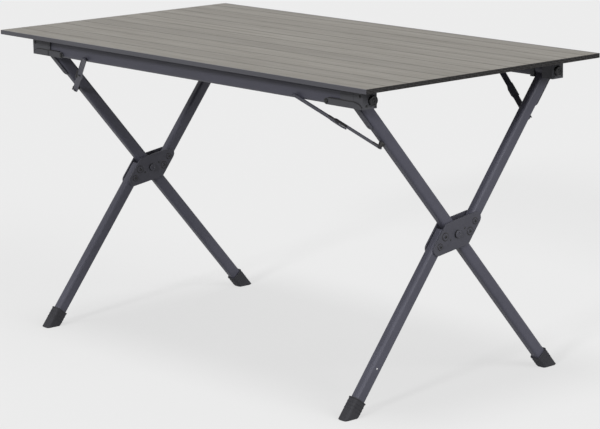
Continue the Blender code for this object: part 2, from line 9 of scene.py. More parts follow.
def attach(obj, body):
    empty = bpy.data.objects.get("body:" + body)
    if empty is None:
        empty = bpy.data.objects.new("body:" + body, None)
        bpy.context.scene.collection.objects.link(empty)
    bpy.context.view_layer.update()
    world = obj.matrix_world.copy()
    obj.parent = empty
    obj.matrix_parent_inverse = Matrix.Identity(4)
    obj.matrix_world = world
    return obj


# Folding camp table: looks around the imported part. Metres, +Z up, -Y is the front long side.
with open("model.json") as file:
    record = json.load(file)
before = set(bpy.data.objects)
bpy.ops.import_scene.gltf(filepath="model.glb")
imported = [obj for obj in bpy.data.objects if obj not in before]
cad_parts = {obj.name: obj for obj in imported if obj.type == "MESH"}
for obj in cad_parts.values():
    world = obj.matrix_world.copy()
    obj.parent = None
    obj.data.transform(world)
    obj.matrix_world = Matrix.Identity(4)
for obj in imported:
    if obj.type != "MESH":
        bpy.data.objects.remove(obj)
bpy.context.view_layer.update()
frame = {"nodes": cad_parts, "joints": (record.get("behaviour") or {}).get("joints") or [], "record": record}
nodes = frame["nodes"]
joints = {joint["name"]: joint for joint in frame["joints"]}
ends = {"left": -1, "right": 1}     # sign along x
sides = {"front": -1, "back": 1}    # sign along y
tableCorners = [(side, end) for side in sides for end in ends]


# node helpers

def linkedNode(tree, kind, inputs=None, links=None, **settings):
    node = tree.nodes.new(kind)
    for key, value in settings.items():
        setattr(node, key, value)
    for key, value in (inputs or {}).items():
        node.inputs[key].default_value = value
    for key, socket in (links or {}).items():
        tree.links.new(socket, node.inputs[key])
    return node


def objectCoords(tree):
    return linkedNode(tree, "ShaderNodeTexCoord").outputs["Object"]


def noiseOn(tree, coords, stretch, detail, roughness=0.55, distortion=0.0):
    # stretch is the number of grains per metre along x, y and z
    mapping = linkedNode(tree, "ShaderNodeMapping", {"Scale": stretch}, {"Vector": coords})
    noise = linkedNode(tree, "ShaderNodeTexNoise",
                       {"Scale": 1.0, "Detail": detail, "Roughness": roughness, "Distortion": distortion},
                       {"Vector": mapping.outputs["Vector"]})
    return noise.outputs["Fac"]


def spread(tree, value, low, high, fromLow=0.3, fromHigh=0.7):
    # most of a noise's values lie between 0.3 and 0.7
    node = linkedNode(tree, "ShaderNodeMapRange",
                      {"From Min": fromLow, "From Max": fromHigh, "To Min": low, "To Max": high},
                      {"Value": value})
    return node.outputs["Result"]


def calc(tree, operation, one, other=0.0):
    node = tree.nodes.new("ShaderNodeMath")
    node.operation = operation
    for index, value in enumerate((one, other)):
        if isinstance(value, (int, float)):
            node.inputs[index].default_value = value
        else:
            tree.links.new(value, node.inputs[index])
    return node.outputs["Value"]


def mixColours(tree, share, one, other):
    node = tree.nodes.new("ShaderNodeMix")
    node.data_type = "RGBA"
    tree.links.new(share, node.inputs[0])
    for index, colour in ((6, one), (7, other)):
        if isinstance(colour, tuple):
            node.inputs[index].default_value = (*colour, 1.0)
        else:
            tree.links.new(colour, node.inputs[index])
    return node.outputs[2]


def startMaterial(name):
    material = bpy.data.materials.new(name)
    material.use_nodes = True
    tree = material.node_tree
    return material, tree, tree.nodes["Principled BSDF"]


def bumpInto(tree, shader, height, depth, strength=1.0, under=None):
    links = {"Height": height}
    if under is not None:
        links["Normal"] = under
    bump = linkedNode(tree, "ShaderNodeBump", {"Strength": strength, "Distance": depth}, links)
    tree.links.new(bump.outputs["Normal"], shader.inputs["Normal"])
    return bump.outputs["Normal"]


# coats: two mottled tones, worn patches and a fine grain

# noises are detail, roughness and distortion; worn spots show between two values of the scuff noise
coatPattern = {"cloud": (3.0,), "grain": (2.0, 0.5), "scuff": (5.0, 0.65, 0.4),
               "wornBand": (0.62, 0.78), "dullBand": (0.6, 0.8), "dull": 0.12}


def grainedFinish(name, look):
    material, tree, shader = startMaterial(name)
    coords = objectCoords(tree)
    cloud, grain, scuff = (noiseOn(tree, coords, look[kind], *coatPattern[kind])
                           for kind in ("cloud", "grain", "scuff"))
    tone = mixColours(tree, spread(tree, cloud, 0.0, 1.0), look["dark"], look["light"])
    tone = mixColours(tree, spread(tree, scuff, 0.0, look["wear"], *coatPattern["wornBand"]), tone, look["worn"])
    tree.links.new(tone, shader.inputs["Base Color"])
    rough = calc(tree, "ADD", spread(tree, cloud, look["smooth"], look["rough"]),
                 spread(tree, scuff, 0.0, coatPattern["dull"], *coatPattern["dullBand"]))
    tree.links.new(rough, shader.inputs["Roughness"])
    shader.inputs["Metallic"].default_value = look["metallic"]
    shader.inputs["Specular IOR Level"].default_value = look["gloss"]
    bumpInto(tree, shader, grain, look["depth"])
    return material


powderCoat = {"dark": (0.062, 0.062, 0.084), "light": (0.081, 0.081, 0.107), "worn": (0.125, 0.125, 0.15),
              "wear": 0.22, "cloud": (14, 14, 14), "grain": (1900, 1900, 1900), "scuff": (70, 70, 26),
              "smooth": 0.42, "rough": 0.56, "metallic": 0.0, "gloss": 0.36, "depth": 0.00012}
plateCoat = dict(powderCoat, dark=(0.052, 0.052, 0.067), light=(0.068, 0.068, 0.085),
                 grain=(1300, 1300, 1300), depth=0.00016, smooth=0.46, rough=0.60)
trimCoat = {"dark": (0.070, 0.070, 0.082), "light": (0.091, 0.091, 0.106), "worn": (0.15, 0.15, 0.16),
            "wear": 0.25, "cloud": (3, 60, 60), "grain": (60, 1600, 1600), "scuff": (18, 90, 90),
            "smooth": 0.34, "rough": 0.46, "metallic": 0.12, "gloss": 0.40, "depth": 0.00006}
mouldedPlastic = {"dark": (0.064, 0.065, 0.074), "light": (0.082, 0.083, 0.093), "worn": (0.075, 0.077, 0.082),
                  "wear": 0.20, "cloud": (40, 40, 40), "grain": (2600, 2600, 2600), "scuff": (120, 120, 60),
                  "smooth": 0.48, "rough": 0.62, "metallic": 0.0, "gloss": 0.33, "depth": 0.00010}
endPlastic = dict(mouldedPlastic, dark=(0.021, 0.020, 0.020), light=(0.031, 0.029, 0.029),
                  worn=(0.05, 0.048, 0.045), smooth=0.55, rough=0.68)
blackSteel = {"dark": (0.014, 0.014, 0.015), "light": (0.024, 0.024, 0.026), "worn": (0.06, 0.06, 0.06),
              "wear": 0.20, "cloud": (90, 90, 90), "grain": (900, 900, 900), "scuff": (260, 260, 260),
              "smooth": 0.28, "rough": 0.42, "metallic": 0.35, "gloss": 0.5, "depth": 0.00005}
brightSteel = {"dark": (0.50, 0.50, 0.50), "light": (0.62, 0.62, 0.61), "worn": (0.32, 0.32, 0.32),
               "wear": 0.30, "cloud": (200, 200, 200), "grain": (1500, 1500, 1500), "scuff": (500, 500, 500),
               "smooth": 0.22, "rough": 0.36, "metallic": 0.9, "gloss": 0.5, "depth": 0.00004}
footRubber = {"dark": (0.024, 0.024, 0.029), "light": (0.036, 0.036, 0.042), "worn": (0.055, 0.053, 0.050),
              "wear": 0.35, "cloud": (50, 50, 50), "grain": (1500, 1500, 1500), "scuff": (90, 90, 200),
              "smooth": 0.66, "rough": 0.82, "metallic": 0.0, "gloss": 0.35, "depth": 0.00018}
padRubber = dict(footRubber, cloud=(8, 60, 60), grain=(300, 1800, 1800))


# printed wood grain on the slats

# noises are stretch, detail, roughness and distortion; tones are the share of the darker colour
slatLook = {"pitch": 0.0595, "frontEdge": -0.35, "capStart": 0.6487, "gloss": 0.25,
            "pale": (0.236, 0.222, 0.197), "deep": (0.154, 0.143, 0.124), "vein": (0.099, 0.091, 0.077),
            "cap": (0.028, 0.026, 0.026), "ownBrightness": 0.06, "ownStretch": 7.0,
            "broad": ((2.2, 46, 20), 3.0, 0.5, 0.3), "veins": ((5.0, 240, 60), 5.0, 0.62, 0.5),
            "fine": ((16, 900, 120), 3.0, 0.6),
            "broadTone": (0.12, 0.62), "veinTone": (0.0, 0.42, 0.52, 0.74), "fineTone": (0.0, 0.28, 0.5, 0.75),
            "veinRough": (0.44, 0.62), "fineRough": (-0.03, 0.05),
            "veinBump": (0.00020, 0.8), "fineBump": (0.00010, 0.6), "seamBump": (0.0007, 0.7),
            "seamReach": 0.0034, "paintedSeamShade": 0.50}


def slatFinish(look):
    material, tree, shader = startMaterial("slat_wood_grain")
    coords = objectCoords(tree)
    axes = linkedNode(tree, "ShaderNodeSeparateXYZ", links={"Vector": coords})
    across = calc(tree, "DIVIDE", calc(tree, "SUBTRACT", axes.outputs["Y"], look["frontEdge"]), look["pitch"])
    # each slat has its own number from 0 to 1, and so its own stretch of the pattern
    own = linkedNode(tree, "ShaderNodeTexWhiteNoise", links={"W": calc(tree, "FLOOR", across)},
                     noise_dimensions="1D").outputs["Value"]
    along = calc(tree, "ADD", axes.outputs["X"], calc(tree, "MULTIPLY", own, look["ownStretch"]))
    shifted = linkedNode(tree, "ShaderNodeCombineXYZ",
                         links={"X": along, "Y": axes.outputs["Y"], "Z": axes.outputs["Z"]}).outputs["Vector"]
    broad, veins, fine = (noiseOn(tree, shifted, *look[kind]) for kind in ("broad", "veins", "fine"))
    tone = mixColours(tree, spread(tree, broad, *look["broadTone"]), look["pale"], look["deep"])
    tone = mixColours(tree, spread(tree, veins, *look["veinTone"]), tone, look["vein"])
    tone = mixColours(tree, spread(tree, fine, *look["fineTone"]), tone, look["vein"])
    # the slats' shoulders fall off into the seams as a bump, and the tone darkens towards each seam in the cap
    # colour: painted shade
    fromMiddle = calc(tree, "ABSOLUTE", calc(tree, "SUBTRACT", calc(tree, "FRACT", across), 0.5))
    toSeam = calc(tree, "SUBTRACT", 0.5, fromMiddle)
    shoulder = spread(tree, toSeam, 0.0, 1.0, 0.0, look["seamReach"] / look["pitch"])
    paintedShade = calc(tree, "MULTIPLY", calc(tree, "SUBTRACT", 1.0, shoulder), look["paintedSeamShade"])
    # painted shade in each seam, using the cap's dark colour
    tone = mixColours(tree, paintedShade, tone, look["cap"])
    brightness = spread(tree, own, 1.0 - look["ownBrightness"], 1.0 + look["ownBrightness"], 0.0, 1.0)
    bright = linkedNode(tree, "ShaderNodeHueSaturation", {"Hue": 0.5, "Saturation": 1.0},
                        {"Value": brightness, "Color": tone})
    # past this x the slats' cut ends show, which are dark
    isCap = calc(tree, "GREATER_THAN", calc(tree, "ABSOLUTE", axes.outputs["X"]), look["capStart"])
    tree.links.new(mixColours(tree, isCap, bright.outputs["Color"], look["cap"]), shader.inputs["Base Color"])
    rough = calc(tree, "ADD", spread(tree, veins, *look["veinRough"]), spread(tree, fine, *look["fineRough"]))
    tree.links.new(rough, shader.inputs["Roughness"])
    shader.inputs["Specular IOR Level"].default_value = look["gloss"]
    grain = bumpInto(tree, shader, veins, *look["veinBump"])
    grain = bumpInto(tree, shader, fine, *look["fineBump"], grain)
    bumpInto(tree, shader, shoulder, *look["seamBump"], grain)
    return material


finishes = {
    "slat": slatFinish(slatLook),
    "edge": grainedFinish("edge_trim_coat", trimCoat),
    "frame": grainedFinish("frame_powder_coat", powderCoat),
    "plate": grainedFinish("plate_powder_coat", plateCoat),
    "bracket": grainedFinish("bracket_moulded_plastic", mouldedPlastic),
    "end": grainedFinish("end_cap_plastic", endPlastic),
    "steel": grainedFinish("blackened_steel", blackSteel),
    "bright": grainedFinish("plain_rivet_steel", brightSteel),
    "foot": grainedFinish("foot_rubber", footRubber),
    "pad": grainedFinish("rail_pad_rubber", padRubber),
}
print("finishes:", len(finishes))


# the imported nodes, with a rounded edge for each slot

edgeWidths = {"slat": 0.00025, "edge": 0.0005, "frame": 0.0005, "plate": 0.0007, "bracket": 0.0009,
              "steel": 0.0006, "foot": 0.0012, "pad": 0.0008}
edgeLook = {"weld": 0.00001, "segments": 2, "angle": math.radians(38), "normalWeight": 60}


def roundEdges(node, width):
    weld = node.modifiers.new("weld", "WELD")
    weld.merge_threshold = edgeLook["weld"]
    bevel = node.modifiers.new("edges", "BEVEL")
    bevel.width = width
    bevel.segments = edgeLook["segments"]
    bevel.limit_method = "ANGLE"
    bevel.angle_limit = edgeLook["angle"]
    bevel.use_clamp_overlap = True
    normals = node.modifiers.new("normals", "WEIGHTED_NORMAL")
    normals.weight = edgeLook["normalWeight"]
    normals.keep_sharp = False


for subpart in frame["record"]["subparts"]:
    node = nodes[subpart["node"]]
    slot = subpart["material_slot"]
    node.data.materials.clear()
    node.data.materials.append(finishes[slot])
    roundEdges(node, edgeWidths[slot])
print("nodes dressed:", len(nodes))


# placing: outlines lie in a plane's first two axes, and heights run along its third

def axesAt(origin, across, along):
    # first axis across, third axis along
    along = Vector(along).normalized()
    across = Vector(across)
    across = (across - along * across.dot(along)).normalized()
    second = along.cross(across)
    matrix = Matrix((across, second, along)).transposed().to_4x4()
    matrix.translation = Vector(origin)
    return matrix


def endAxes(end, y, z):
    # looks out at an end, with heights counted from the middle of the table
    return axesAt((0, y, z), (0, 1, 0), (ends[end], 0, 0))


def movedTo(axes, point):
    spot = axes.copy()
    spot.translation = point
    return spot


def placed(outline, height, axes):
    return [axes @ Vector((u, v, height)) for u, v in outline]


# outlines

def circle(radius, count, flutes=0, fluteDepth=0.0):
    points = []
    for step in range(count):
        turn = 2 * math.pi * step / count
        reach = radius - fluteDepth * (0.5 + 0.5 * math.cos(flutes * turn)) if flutes else radius
        points.append((reach * math.cos(turn), reach * math.sin(turn)))
    return points


def hexagon(radius, count):
    points = []
    for step in range(count):
        turn = 2 * math.pi * step / count
        within = (turn + math.pi / 6) % (math.pi / 3) - math.pi / 6
        reach = radius * math.cos(math.pi / 6) / math.cos(within)
        points.append((reach * math.cos(turn), reach * math.sin(turn)))
    return points


def roundedBox(width, depth, radius, steps=4):
    points = []
    for quarter, (signU, signV) in enumerate(((1, 1), (-1, 1), (-1, -1), (1, -1))):
        for step in range(steps + 1):
            angle = math.pi / 2 * (quarter + step / steps)
            points.append((signU * (width / 2 - radius) + radius * math.cos(angle),
                           signV * (depth / 2 - radius) + radius * math.sin(angle)))
    return points


def inset(outline, distance):
    # the outline drawn in by a distance, each corner along its own bisector
    moved = []
    count = len(outline)
    sharpest = 0.4   # keeps a sharp corner from running away
    for index in range(count):
        before, here, after = (Vector(outline[(index + step) % count]) for step in (-1, 0, 1))
        normals = [Vector((-(b - a).y, (b - a).x)).normalized() for a, b in ((before, here), (here, after))]
        bisector = (normals[0] + normals[1]).normalized()
        moved.append(tuple(here + bisector * distance / max(sharpest, bisector.dot(normals[0]))))
    return moved


# rings: an outline repeated at several heights

def insetRings(outline, profile, axes):
    # profile holds (inset, height)
    return [placed(inset(outline, distance), height, axes) for distance, height in profile]


def slabRings(outline, low, high, axes, edge):
    return insetRings(outline, ((edge, low), (0.0, low + edge), (0.0, high - edge), (edge, high)), axes)


def turnedRings(profile, axes, seat, count, flutes=0, fluteDepth=0.0):
    # profile holds (radius, rise over the seat), and only rings over 70% of the widest get flutes
    fluted = 0.7 * max(radius for radius, _ in profile)
    return [placed(circle(radius, count, flutes if radius > fluted else 0, fluteDepth), seat + rise, axes)
            for radius, rise in profile]


def addPiece(name, stacks, finish, body, smoothAngle=40.0, hoops=False):
    # a stack is a list of rings with as many points each, capped at both ends or closed to a hoop
    shape = bmesh.new()
    for rings in stacks:
        rows = [[shape.verts.new(point) for point in ring] for ring in rings]
        for row, following in zip(rows, rows[1:] + rows[:1] if hoops else rows[1:]):
            for index in range(len(row)):
                after = (index + 1) % len(row)
                shape.faces.new((row[index], row[after], following[after], following[index]))
        if not hoops:
            shape.faces.new(rows[0])
            shape.faces.new(rows[-1])
    bmesh.ops.recalc_face_normals(shape, faces=shape.faces)
    mesh = bpy.data.meshes.new(name)
    shape.to_mesh(mesh)
    shape.free()
    mesh.materials.append(finishes[finish])
    mesh.shade_smooth()
    mesh.set_sharp_from_angle(angle=math.radians(smoothAngle))
    piece = bpy.data.objects.new(name, mesh)
    bpy.context.scene.collection.objects.link(piece)
    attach(piece, body)


# plugs in the slats' open ends, three to a slat

# rings are (inset, distance from the table's middle)
slatEnd = {"count": 12, "gap": 0.0006, "trim": 0.0033, "wall": 0.001, "cells": 3, "underside": 0.714,
           "top": 0.724, "clearance": 0.00012, "corner": 0.0006, "cornerSteps": 2,
           "rings": ((0.0006, 0.636), (0.0, 0.639), (0.0, 0.6492), (0.0004, 0.6496), (0.0014, 0.6496),
                     (0.0017, 0.6488))}


def slatEdges(number):
    # along y; the first and the last slat end at the trims
    low = slatLook["frontEdge"] + (number - 1) * slatLook["pitch"] + slatEnd["gap"] / 2
    high = slatLook["frontEdge"] + number * slatLook["pitch"] - slatEnd["gap"] / 2
    if number == 1:
        low = slatLook["frontEdge"] + slatEnd["trim"]
    if number == slatEnd["count"]:
        high = -slatLook["frontEdge"] - slatEnd["trim"]
    return low, high


def addSlatPlugs(number, end):
    look = slatEnd
    wall, cells = look["wall"], look["cells"]
    low, high = slatEdges(number)
    depth = (high - low - wall * (cells + 1)) / cells
    tall = look["top"] - look["underside"] - 2 * wall
    outline = roundedBox(depth - 2 * look["clearance"], tall - 2 * look["clearance"], look["corner"],
                         look["cornerSteps"])
    stacks = []
    for cell in range(cells):
        middle = low + wall + cell * (depth + wall) + depth / 2
        axes = endAxes(end, middle, (look["underside"] + look["top"]) / 2)
        stacks.append(insetRings(outline, look["rings"], axes))
    addPiece(f"slat_plug_{number:02d}_{end}", stacks, "end", "root" if number == 1 else f"slat_{number:02d}")


for number in range(1, slatEnd["count"] + 1):
    for end in ends:
        addSlatPlugs(number, end)
print("slat end plugs:", len(ends) * slatEnd["count"])


# legs, as lines from the joints

legLook = {"width": 0.022, "depth": 0.0285, "corner": 0.0065, "wall": 0.0015, "lean": math.radians(2.3),
           "nest": 0.0006, "strapSeat": 0.0003, "strapThick": 0.003}
upperLeg = {"front": "straight", "back": "upper"}    # the tube that hangs on each side's brackets


def jointAt(name):
    return Vector(joints[name]["pos_m"])


def bracketPivot(side, end):
    return jointAt(f"leg_{upperLeg[side]}_pivot_{end}")


def legBody(kind, end):
    return ("leg_straight_" if kind == "straight" else "leg_split_") + end


def legLine(kind, end):
    # start level with the upper pivot or the hub, downward direction, outer normal
    hub = jointAt("hub_pivot_" + end)
    pivot = bracketPivot("front", end)
    straight = (hub - pivot).normalized()
    if kind == "straight":
        return pivot, straight, Vector((0, straight.z, -straight.y))
    angle = math.atan2(straight.y, -straight.z) - legLook["lean"]
    down = Vector((0, -math.sin(angle), -math.cos(angle)))
    aside = Vector((0, math.cos(angle), -math.sin(angle)))
    offset = aside * (legLook["depth"] + legLook["nest"])
    if kind == "lower":
        return hub - offset, down, aside
    return hub + offset - down * (hub - bracketPivot("back", end)).dot(down), down, aside


# screws and rivets, as shares of their radius and height

headSink = 0.0002    # how far a head goes into the face it sits on
screwLook = {"radius": 0.0034, "height": 0.0016, "socket": 0.0015, "count": 24,
             "head": ((1.0, 0.0), (1.0, 0.35), (0.86, 0.85), (0.66, 1.0)), "hole": ((1.0, 1.0), (0.92, 0.25))}
rivetLook = {"count": 20, "head": ((1.0, 0.0), (0.98, 0.3), (0.8, 0.75), (0.45, 1.0), (0.1, 1.02))}


def screwRings(axes, seat, look=screwLook):
    # a button head with a hexagon socket
    radius, height, socket, count = (look[key] for key in ("radius", "height", "socket", "count"))
    rings = [placed(circle(radius * share, count), seat + height * rise, axes) for share, rise in look["head"]]
    return rings + [placed(hexagon(socket * share, count), seat + height * rise, axes)
                    for share, rise in look["hole"]]


def rivetRings(axes, seat, radius, height):
    profile = [(radius * share, height * rise) for share, rise in rivetLook["head"]]
    return turnedRings(profile, axes, seat, rivetLook["count"])


# fluted knobs on the brackets and domed caps on the fold pins

# profiles are (radius, rise over the seat), and seats are distances from the table's middle
knobLook = {"seat": 0.5863, "count": 64, "flutes": 20, "fluteDepth": 0.00025,
            "profile": ((0.0100, 0.0), (0.0112, 0.0008), (0.0112, 0.0062), (0.0105, 0.0073), (0.0098, 0.0076),
                        (0.0084, 0.0076), (0.0076, 0.0065), (0.0050, 0.0065), (0.0042, 0.0074),
                        (0.0033, 0.0074), (0.0029, 0.0062))}
pinLook = {"seat": 0.3024, "count": 28, "profile": ((0.0051, -0.0004), (0.0050, 0.0002), (0.0039, 0.00077),
                                                    (0.0023, 0.0011), (0.0006, 0.001155))}


def addKnob(side, end):
    look = knobLook
    pivot = bracketPivot(side, end)
    rings = turnedRings(look["profile"], endAxes(end, pivot.y, pivot.z), look["seat"], look["count"],
                        look["flutes"], look["fluteDepth"])
    addPiece(f"knob_{side}_{end}", [rings], "steel", f"bracket_{side}_{end}")


def addPinCap(side, end):
    pin = jointAt("legs_fold" if end == "right" else "left_legs_fold")
    axes = axesAt((pin.x, 0, pin.z), (1, 0, 0), (0, sides[side], 0))
    rings = turnedRings(pinLook["profile"], axes, pinLook["seat"], pinLook["count"])
    addPiece(f"fold_pin_cap_{side}_{end}", [rings], "steel", "root" if side == "front" else "back_rail")


for side, end in tableCorners:
    addKnob(side, end)
    addPinCap(side, end)
print("knobs and pin caps: 8")


# hub plates: raised bosses with a screw and a dark ring round each that is painted shadow of the boss, pins, and
# a cap on the centre bolt

# screws are (along the plate, down the leg, share of the boss radius), counted from the centre bolt
hubLook = {"plateGap": 0.0003, "plateThick": 0.0035, "screws": ((0.0290, 0.0490, 0.8), (0.0290, 0.0235, 1.0)),
           "count": 28, "bossRadius": 0.0080, "bossRise": 0.0016, "bossSink": 0.0004, "bossEdge": 0.0005,
           "screwSink": 0.0001, "ringWidth": 0.0017, "ringUnder": 0.0004, "ringSink": 0.0003,
           "ringRise": (0.0002, 0.0004), "pin": (0.0112, 0.0212), "pinRadius": 0.0024, "pinRise": 0.0010,
           "capSeat": 0.0033, "capCount": 32, "cap": ((0.0084, -0.0006), (0.0084, 0.00048), (0.0075, 0.0012),
                                                      (0.0040, 0.0012), (0.0034, 0.00024), (0.0004, 0.00024))}


def bossProfile(radius):
    look = hubLook
    return ((radius, -look["bossSink"]), (radius, look["bossRise"] / 2),
            (radius - look["bossEdge"], look["bossRise"]), (look["bossEdge"], look["bossRise"]))


# a dark ring at the boss's foot: painted shadow
def bossShadowRingProfile(radius):
    look = hubLook
    inner, outer = radius - look["ringUnder"], radius + look["ringWidth"]
    return ((outer, -look["ringSink"]), (outer, look["ringRise"][0]), (inner, look["ringRise"][1]),
            (inner, -look["ringSink"]))


def addHubFace(place, way, seat, end):
    # way is where the face looks along x, and seat is how far out it lies that way
    look = hubLook
    body = legBody("lower", end)
    hub = jointAt("hub_pivot_" + end)
    _, down, aside = legLine("lower", end)
    axes = axesAt((0, hub.y, hub.z), aside, (way, 0, 0))
    flip = 1 if axes.col[1].xyz.dot(-down) > 0 else -1
    screws, bosses, rings, pins = [], [], [], []
    for turn in (1, -1):
        for u, v, share in look["screws"]:
            spot = movedTo(axes, axes @ Vector((turn * u, flip * turn * v, 0)))
            radius = share * look["bossRadius"]
            screws.append(screwRings(spot, seat + look["bossRise"] - look["screwSink"]))
            bosses.append(turnedRings(bossProfile(radius), spot, seat, look["count"]))
            rings.append(turnedRings(bossShadowRingProfile(radius), spot, seat, look["count"]))
        u, v = look["pin"]
        spot = movedTo(axes, axes @ Vector((turn * u, flip * turn * v, 0)))
        pins.append(rivetRings(spot, seat - headSink, look["pinRadius"], look["pinRise"]))
    addPiece(f"hub_boss_{place}_{end}", bosses, "plate", body)
    # the dark rings round the bosses are painted shadow
    addPiece(f"hub_shadow_rings_{place}_{end}", rings, "end", body, 50.0, hoops=True)
    addPiece(f"hub_screws_{place}_{end}", screws, "steel", body)
    addPiece(f"hub_pins_{place}_{end}", pins, "steel", body)
    cap = turnedRings(look["cap"], axes, seat + look["capSeat"], look["capCount"])
    addPiece(f"hub_bolt_cap_{place}_{end}", [cap], "plate", body)


for end, sign in ends.items():
    middle = abs(jointAt("hub_pivot_" + end).x)
    half = legLook["width"] / 2 + hubLook["plateGap"] + hubLook["plateThick"]
    addHubFace("outer", sign, middle + half, end)
    addHubFace("inner", -sign, half - middle, end)
print("hub details: 20")


# straps on the legs: rivets, and the curved knee from the strap's start up to the bracket

# distances run down the leg from its pivot
strapLook = {"width": 0.016, "start": 0.0235, "overlap": 0.0004, "edge": 0.0006,
             "rivets": (0.0314, 0.0578, 0.0700), "rivetRadius": 0.0023, "rivetRise": 0.0011,
             "kneeStart": 0.005, "kneeTurn": math.radians(38), "kneeSteps": 7}


def addStrapDetail(side, end):
    look = strapLook
    kind = upperLeg[side]
    start, down, outward = legLine(kind, end)
    body = legBody(kind, end)
    face = legLook["depth"] / 2 + legLook["strapSeat"]
    outer = face + legLook["strapThick"]
    axes = axesAt(start, (1, 0, 0), outward)
    heads = [rivetRings(movedTo(axes, start + down * distance), outer - headSink, look["rivetRadius"],
                        look["rivetRise"]) for distance in look["rivets"]]
    addPiece(f"strap_rivets_{side}_{end}", heads, "steel", body)

    half, edge = look["width"] / 2, look["edge"]
    section = ((-half, face), (half, face), (half, outer - edge), (half - edge, outer), (edge - half, outer),
               (-half, outer - edge))
    centre = start + down * look["kneeStart"]
    steps = [(start + down * (look["start"] - look["overlap"]), outward), (centre, outward)]
    for step in range(1, look["kneeSteps"] + 1):
        turn = look["kneeTurn"] * step / look["kneeSteps"]
        steps.append((centre, outward * math.cos(turn) - down * math.sin(turn)))
    rings = [[middle + Vector((1, 0, 0)) * u + normal * v for u, v in section] for middle, normal in steps]
    addPiece(f"strap_knee_{side}_{end}", [rings], "plate", body)


for side, end in tableCorners:
    addStrapDetail(side, end)
print("strap details: 8")


# brackets: a rim round the knob, screws, a face band that bends into the leg, a cover, and a dark strip along the
# band's top edge that is painted shadow of the gap there

# outlines are (distance along x, height z) and profiles are (radius, rise over the seat);
# screw spots are (across, up) from the knob
bracketLook = {"outerX": 0.586, "faceY": 0.3003, "rimCount": 40,
               "rim": ((0.0134, -0.0003), (0.0134, 0.00045), (0.0128, 0.0009), (0.0116, 0.0009),
                       (0.0112, 0.0001)),
               "screwSpots": ((-0.0105, -0.0125), (0.0150, -0.0105)),
               "screw": dict(screwLook, radius=0.0030, height=0.0015, socket=0.0013),
               "shadeNotchScrewSpot": (0.5775, 0.6955), "shadeNotchScrew": dict(screwLook, height=0.0014),
               "bandStart": 0.5245, "bandBottom": 0.6684, "bandRise": 0.0017, "bandEdge": 0.0005,
               "bandTop": {"front": 0.6818, "back": 0.6795}, "bandEnd": {"front": 0.583, "back": 0.566},
               "bandTurn": {"front": 0.5558, "back": 0.5575}, "bandSteps": 8,
               "coverEnd": 0.5575, "coverTop": 0.7020, "coverLap": 0.001, "coverSink": 0.0014,
               "coverRise": 0.0004, "coverEdge": 0.0003,
               "shadowLineStart": 0.4815, "shadowLineTurn": 0.5275, "shadowLineTall": 0.0019, "shadowLineRise": 0.0010, "shadowLineBack": 0.0022}


def kneeCurve(turnX, endX, top, bottom):
    # quarter of an ellipse from the arm's top edge down to the bracket's bottom edge
    steps = bracketLook["bandSteps"]
    turns = [math.pi / 2 * step / steps for step in range(steps + 1)]
    return [(turnX + (endX - turnX) * math.sin(turn), bottom + (top - bottom) * math.cos(turn)) for turn in turns]


def shadowLineRings(curve, top, axes):
    # a dark bar along the arm's top edge and over the curve, as thick everywhere as its given height: painted
    # shadow of the gap there
    look = bracketLook
    back, front = look["faceY"] - look["shadowLineBack"], look["faceY"] + look["shadowLineRise"]
    edge = [(look["shadowLineStart"], top), (look["shadowLineTurn"], top)] + curve[:-1]
    lifts = [Vector((0, 1))] * 2
    for index in range(len(curve) - 1):
        step = Vector(curve[index + 1]) - Vector(curve[max(0, index - 1)])
        lifts.append(Vector((-step.y, step.x)).normalized())
    rings = []
    for point, lift in zip(edge, lifts):
        low, high = Vector(point), Vector(point) + lift * look["shadowLineTall"]
        rings.append([axes @ Vector((*spot, depth)) for spot, depth in
                      ((low, back), (high, back), (high, front), (low, front))])
    return rings


def addBracketDetail(side, end):
    look = bracketLook
    sign, way = ends[end], sides[side]
    body = f"bracket_{side}_{end}"
    pivot = bracketPivot(side, end)
    rim = turnedRings(look["rim"], endAxes(end, pivot.y, pivot.z), look["outerX"], look["rimCount"])
    addPiece(f"bracket_rim_{side}_{end}", [rim], "bracket", body)
    screws = [screwRings(endAxes(end, pivot.y + way * across, pivot.z + up), look["outerX"] - headSink,
                         look["screw"]) for across, up in look["screwSpots"]]
    # the black screw at the front face's top corner sits where there is only the shade of the gap under the top:
    # a dark part standing for painted shade
    faceX, faceZ = look["shadeNotchScrewSpot"]
    faceAxes = axesAt((sign * faceX, 0, faceZ), (1, 0, 0), (0, way, 0))
    screws.append(screwRings(faceAxes, look["faceY"] - headSink, look["shadeNotchScrew"]))
    addPiece(f"bracket_screws_{side}_{end}", screws, "steel", body)

    # outlines in x and z, heights along y
    axes = Matrix(((sign, 0, 0, 0), (0, 0, way, 0), (0, 1, 0, 0), (0, 0, 0, 1)))
    start, face = look["bandStart"], look["faceY"]
    top, bottom = look["bandTop"][side], look["bandBottom"]
    curve = kneeCurve(look["bandTurn"][side], look["bandEnd"][side], top, bottom)
    band = [(start, top), (start, bottom)] + curve[::-1]
    addPiece(f"bracket_elbow_{side}_{end}",
             [slabRings(band, face - headSink, face + look["bandRise"], axes, look["bandEdge"])], "bracket", body)
    if side == "front":
        roof, lap = look["coverTop"], top - look["coverLap"]
        cover = [(start, roof), (start, lap), (look["coverEnd"], lap), (look["coverEnd"], roof)]
        rings = slabRings(cover, face - look["coverSink"], face + look["coverRise"], axes, look["coverEdge"])
        addPiece(f"bracket_cover_{side}_{end}", [rings], "bracket", body)
    # the dark strip along the band's top edge is painted shadow
    addPiece(f"bracket_shadow_line_{side}_{end}", [shadowLineRings(curve, top, axes)], "end", body, 50.0)


for side, end in tableCorners:
    addBracketDetail(side, end)
print("bracket details: 18")


# folding stays: channels round the links, a lock at the middle joint, an ear and a clip at the leg

